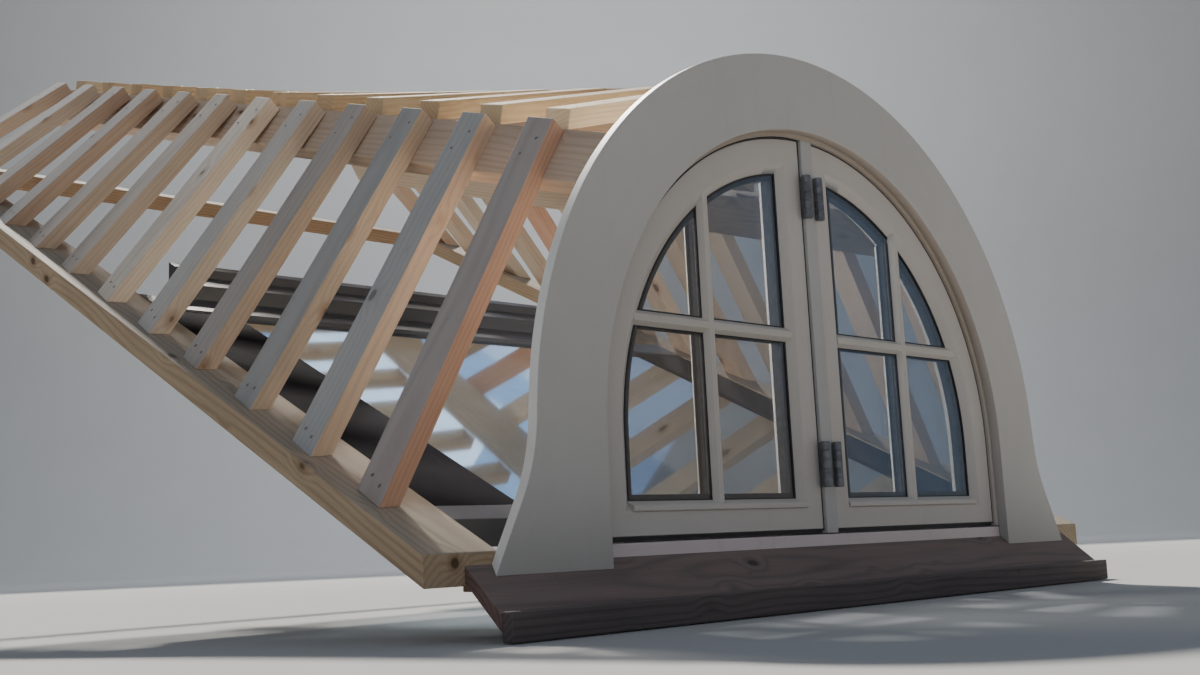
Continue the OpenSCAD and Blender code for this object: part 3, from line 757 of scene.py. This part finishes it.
# ---------------------------------------------------------------- hinges
def hinge_set(side, tag, node):
    s = Soup()
    for z0 in (0.153, 0.686):
        cx, cy, r = side * 0.019, -0.054, 0.0090
        n = 28
        H = 0.088
        cuts = [0.0, 0.2, 0.4, 0.6, 0.8, 1.0]
        prof = [(0.0, -0.0016), (r * 0.45, -0.0014), (r * 0.72, 0.0)]
        for a, b in zip(cuts, cuts[1:]):
            za, zb = H * a, H * b
            prof += [(r - 0.0009, za + 0.0003), (r, za + 0.0012), (r, zb - 0.0012), (r - 0.0009, zb - 0.0003)]
        prof += [(r * 0.72, H), (r * 0.45, H + 0.0014), (0.0, H + 0.0016)]
        v, f = [], []
        for (pr, pz) in prof:
            pz = min(max(pz, 0.0), H) if pr < r * 0.8 else pz
            for j in range(n):
                a = 2 * math.pi * j / n
                v.append((cx + pr * math.cos(a), cy + pr * math.sin(a), z0 + pz))
        for i in range(len(prof) - 1):
            for j in range(n):
                k = (j + 1) % n
                f.append((i * n + j, i * n + k, (i + 1) * n + k, (i + 1) * n + j))
        s.add(v, f)
        # leaf that runs back between sash and post
        x0, x1 = side * 0.0179, side * 0.0201
        lo, hi = min(x0, x1), max(x0, x1)
        vv = [(x, y, z) for x in (lo, hi) for y in (-0.054, -0.020) for z in (z0 + 0.001, z0 + H - 0.001)]
        s.add(vv, box_faces())
    ob = s.make("%s_hinge_knuckles" % tag, M["steel"], "hinge_steel", angle=40)
    bm = bmesh.new()
    bm.from_mesh(ob.data)
    bmesh.ops.remove_doubles(bm, verts=bm.verts, dist=1e-6)
    bm.to_mesh(ob.data)
    bm.free()
    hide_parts(node)


hinge_set(1, "right", "right_sash_hinges")
hinge_set(-1, "left", "left_sash_hinges")

# ---------------------------------------------------------------- timbers
timber("window_sill", M["sill"], "frame_paint", bevel=0.002)
timber("centre_mullion", M["post"], "frame_paint", bevel=0.0014)
timber("sill_beam", M["base"], "base_timber", bevel=0.002)
timber("apron_board", M["apron"], "apron_stain", bevel=0.0015)
timber("apron_nosing", M["nosing"], "apron_stain", bevel=0.0025)
for n_ in ("left_sole_plate", "right_sole_plate", "rear_header"):
    timber(n_, M["base"], "base_timber", bevel=0.0022)
for n_ in ("left_side_board", "ridge_board"):
    timber(n_, M["board"], "board_timber", bevel=0.0018)
# The far side board is set darker than the near one: painted shade.
timber("right_side_board", M["board"], "board_timber", bevel=0.0018, tones=[(0.2, 0.45, 0.6)])
# Per-rafter tone: lightness, hue and saturation, pith shift, amount of weathering. Rafter 1 is made orange and rafters
# 5 and 6 paler: painted bounce light and painted sunlight; the others differ as timber does.
warm_tone_and_painted_light = {1: (0.42, 1.08, 0.3, 0.92), 2: (0.53, 0.38, 0.8, 1.08), 3: (0.38, 0.40, 0.1, 1.0), 4: (0.42, 0.52, 0.6, 0.72), 5: (0.82, 0.30, 0.9, 0.80), 6: (1.35, 0.32, 0.4, 0.45), 7: (0.62, 0.40, 0.2, 0.6), 8: (0.50, 0.50, 0.7, 0.7)}
for k_ in range(1, 9):
    timber("left_rafter_%d" % k_, M["rafter"], "rafter_timber", tones=[warm_tone_and_painted_light[k_]])
    timber("right_rafter_%d" % k_, M["rafter"], "rafter_timber", tones=[(warm_tone_and_painted_light[k_][0], warm_tone_and_painted_light[9 - k_][1], warm_tone_and_painted_light[9 - k_][2], warm_tone_and_painted_light[k_][3])])
timber("left_rear_rafters", M["rafter"], "rafter_timber")
timber("right_rear_rafters", M["rafter"], "rafter_timber")
# The first plank on each side is made much lighter: painted bounce light off the back of the plate; the second and
# third are given, the rest drawn at random.
plank_tone_and_painted_light = [(1.35, 0.46, 0.2), (0.46, 0.56, 0.7), (0.40, 0.70, 0.4)] + [(0.28 + 0.2 * rnd.random(), 0.45 + 0.3 * rnd.random(), rnd.random()) for _ in range(9)]
timber("left_roof_planks", M["plank"], "plank_timber", tones=plank_tone_and_painted_light)
timber("right_roof_planks", M["plank"], "plank_timber", tones=[(a, b, 1 - c) for a, b, c in plank_tone_and_painted_light])
timber("lower_glass_head", M["rail"], "rail_paint", bevel=0.002)
timber("lower_glass_foot", M["rail"], "rail_paint", bevel=0.002)
timber("left_lining_board", M["lining"], "lining_paint", bevel=0.0015)
timber("right_lining_board", M["lining"], "lining_paint", bevel=0.0015)


# ---------------------------------------------------------------- lower glass
def lower_glass():
    x1, y0, y1 = 0.648, 0.120, 1.100

    def slab(s, xa, xb, ya, yb, ha, hb):
        v = [(x, y, roof_z(y) + h) for x in (xa, xb) for y in (ya, yb) for h in (ha, hb)]
        s.add(v, box_faces())

    g = Soup()
    slab(g, -x1, x1, y0, y1, 0.0345, 0.0400)
    ob = g.make("lower_glass_pane", M["low_glass"], "lower_glass", angle=20)
    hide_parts("lower_glass")
    s = Soup()
    w = 0.016
    slab(s, -x1, x1, y0, y0 + w, 0.0160, 0.0344)
    slab(s, -x1, x1, y1 - w, y1, 0.0160, 0.0344)
    slab(s, -x1, -x1 + w, y0 + w, y1 - w, 0.0160, 0.0344)
    slab(s, x1 - w, x1, y0 + w, y1 - w, 0.0160, 0.0344)
    s.make("lower_glass_spacer", M["spacer"], "lower_glass")


lower_glass()


# ---------------------------------------------------------------- fixings
def disc(s, at, normal, r=0.0034, h=0.0006, n=12):
    nz = Vector(normal).normalized()
    x = nz.orthogonal().normalized()
    y = nz.cross(x)
    at = Vector(at)
    v, f = [], []
    for rr, hh in ((r, -0.0010), (r, h * 0.5), (r * 0.75, h)):
        for j in range(n):
            a = 2 * math.pi * j / n
            v.append(at + x * rr * math.cos(a) + y * rr * math.sin(a) + nz * hh)
    for i in range(2):
        for j in range(n):
            k = (j + 1) % n
            f.append((i * n + j, i * n + k, (i + 1) * n + k, (i + 1) * n + j))
    f.append(tuple(2 * n + j for j in range(n)))
    f.append(tuple(reversed(range(n))))
    s.add(v, f)


def fixings():
    s = Soup()
    for side in (-1, 1):
        for i in range(12):
            y = rafter_y(i)
            L = lean(y)
            psi = math.atan(math.cos(L) * 0.320)
            upv = Vector((math.cos(L), 0, math.sin(L)))
            back = Vector((-math.sin(psi) * math.sin(L), math.cos(psi), math.sin(psi) * math.cos(L)))
            nrm = Vector((-math.cos(psi) * math.sin(L), -math.sin(psi), math.cos(psi) * math.cos(L)))
            o = Vector((-EAVES_X, y, eaves_z(y)))
            leg = (eaves_z(y) - roof_z(y) - SOLE_T) / math.sin(L)
            for t, d in ((0.018, 0.060), (0.050, 0.095), (0.020, leg - 0.045), (0.049, leg - 0.060)):
                p = o + back * (t + rnd.uniform(-0.004, 0.004)) - upv * (d + rnd.uniform(-0.006, 0.006))
                q = nrm.copy()
                if side > 0:
                    p.x, q.x = -p.x, -q.x
                disc(s, p, q)
            # nails through the roof planks, down into the side board and the ridge
            pitch = math.atan((crown_z(y) - eaves_z(y)) / EAVES_X)
            tip = math.atan((0.320 + 0.267) / 2 * math.cos(pitch))
            ax = Vector((math.cos(pitch), 0, math.sin(pitch)))
            wy = Vector((-math.sin(tip) * math.sin(pitch), math.cos(tip), math.sin(tip) * math.cos(pitch)))
            nn = Vector((-math.sin(pitch) * math.cos(tip), -math.sin(tip), math.cos(pitch) * math.cos(tip)))
            for a in (0.072, 0.538):
                for t in (0.018, 0.052):
                    p = o + ax * (a + rnd.uniform(-0.004, 0.004)) + wy * (t + rnd.uniform(-0.003, 0.003))
                    q = nn.copy()
                    if side > 0:
                        p.x, q.x = -p.x, -q.x
                    disc(s, p, q, r=0.0036)
    s.make("nail_heads", M["nail"], "hinge_steel", angle=40)


fixings()

# ---------------------------------------------------------------- stage
def stage_set():
    """Pale floor that sweeps up behind the object, square to the camera."""
    zf = -0.0705
    R = 4.0
    prof = [(-30.0, zf), (-12.0, zf), (0.0, zf), (11.0, zf)]
    for i in range(1, 25):
        a = math.pi / 2 * i / 24
        prof.append((11.0 + R * math.sin(a), zf + R * (1 - math.cos(a))))
    prof.append((15.0, 9.2))
    ca, sa = math.cos(0.766241), math.sin(0.766241)
    v = []
    for x in (-40.0, 40.0):
        v += [(x * ca + y * sa, -x * sa + y * ca, z) for y, z in prof]
    n = len(prof)
    f = [(j, j + 1, n + j + 1, n + j) for j in range(n - 1)]
    me = bpy.data.meshes.new("studio_floor")
    me.from_pydata(v, [], f)
    for p in me.polygons:
        p.use_smooth = True
    ob = bpy.data.objects.new("studio_floor", me)
    bpy.context.scene.collection.objects.link(ob)
    t = Tree("studio_floor_m")
    pos = t.n("TexCoord").outputs["Object"]
    a = t.noise(pos, 1.4, 3.0, 0.5)
    col = t.mix(a, rgb(0.44, 0.44, 0.437), rgb(0.47, 0.47, 0.467))
    me.materials.append(t.finish(col, 0.9, spec=0.15))


stage_set()

world = bpy.data.worlds.new("studio")
bpy.context.scene.world = world
world.use_nodes = True
wt = world.node_tree
bg = wt.nodes["Background"]
grad = wt.nodes.new("ShaderNodeTexCoord")
wsep = wt.nodes.new("ShaderNodeSeparateXYZ")
wt.links.new(grad.outputs["Generated"], wsep.inputs[0])
wr = wt.nodes.new("ShaderNodeValToRGB")
wr.color_ramp.elements[0].position = 0.0
wr.color_ramp.elements[0].color = (0.56, 0.58, 0.60, 1)
wr.color_ramp.elements[1].position = 0.55
wr.color_ramp.elements[1].color = (0.57, 0.67, 0.82, 1)
wt.links.new(wsep.outputs[2], wr.inputs[0])
wt.links.new(wr.outputs[0], bg.inputs["Color"])
bg.inputs["Strength"].default_value = 0.34


def light(kind, name, loc, target, energy, size, color, angle=None):
    d = bpy.data.lights.new(name, kind)
    d.energy = energy
    d.color = color
    if kind == "AREA":
        d.shape = "RECTANGLE"
        d.size, d.size_y = size
    else:
        d.angle = math.radians(angle)
    o = bpy.data.objects.new(name, d)
    o.location = loc
    o.rotation_euler = (Vector(target) - Vector(loc)).to_track_quat("-Z", "Y").to_euler()
    bpy.context.scene.collection.objects.link(o)
    return o


aim = Vector((0.0, 0.6, 0.6))
sun_dir = Vector((0.33, 0.65, 0.685))
light("SUN", "key", aim + sun_dir * 8, aim, 6.4, None, (1.0, 0.945, 0.86), angle=3.0)
light("AREA", "fill_left", (-5.4, -3.0, 3.6), (0, 0.5, 0.5), 28, (4.0, 4.0), (0.90, 0.94, 1.0))
light("AREA", "fill_right", (1.2, -6.0, 4.2), (0, 0.3, 0.5), 14, (3.5, 3.5), (1.0, 0.97, 0.93))
inner = light("AREA", "inside_bounce", (-0.52, 0.62, 0.64), (0.35, -0.02, 0.34), 24, (0.35, 0.35), (1.0, 0.93, 0.82))
inner.visible_camera = False
inner.visible_glossy = False
# The boards along the top stay in shade, as in the photo.
shaded = bpy.data.collections.new("boards_in_shade")
for n_ in ("v_ridge_board", "v_left_side_board", "v_right_side_board", "v_right_roof_planks"):
    shaded.objects.link(bpy.data.objects[n_])
inner.light_linking.receiver_collection = shaded
for c_ in shaded.collection_objects:
    c_.light_linking.link_state = "EXCLUDE"
low = light("AREA", "ground_bounce", (0.55, -1.10, -0.03), (0.55, -1.10, 1.0), 4.0, (2.4, 1.0), (1.0, 0.72, 0.46))
low.visible_camera = False
low.visible_glossy = False
sky = light("AREA", "sky_panel", (7.3, 8.8, 8.8), (-0.30, 0.60, 0.35), 15, (2.6, 2.06), (0.90, 0.96, 1.0))
sky.visible_camera = False
blue = light("AREA", "blue_panel", (9.35, 9.92, 9.06), (-0.30, 0.60, 0.35), 48, (6.0, 4.0), (0.30, 0.56, 1.0))
blue.visible_camera = False
light("AREA", "backdrop_light", (4.6, 5.6, 8.0), (10.5, 11.5, 2.5), 800, (9.0, 3.0), (0.96, 0.98, 1.0))

# ---------------------------------------------------------------- camera
yaw, pitch, roll = 0.766241, 0.154096, 0.0460169
fwd = Vector((math.sin(yaw) * math.cos(pitch), math.cos(yaw) * math.cos(pitch), math.sin(pitch)))
right0 = Vector((math.cos(yaw), -math.sin(yaw), 0.0))
down0 = fwd.cross(right0)
c_, s_ = math.cos(roll), math.sin(roll)
right = right0 * c_ + down0 * s_
down = down0 * c_ - right0 * s_
cam_data = bpy.data.cameras.new("photo_camera")
cam_data.sensor_fit = "HORIZONTAL"
cam_data.sensor_width = 36.0
cam_data.lens = 39.993
cam_data.clip_start = 0.05
cam_data.clip_end = 200
cam = bpy.data.objects.new("photo_camera", cam_data)
rot = Matrix((right, -down, -fwd)).transposed()
cam.matrix_world = Matrix.Translation((-2.1226, -1.6248, 0.06276)) @ rot.to_4x4()
bpy.context.scene.collection.objects.link(cam)
bpy.context.scene.camera = cam
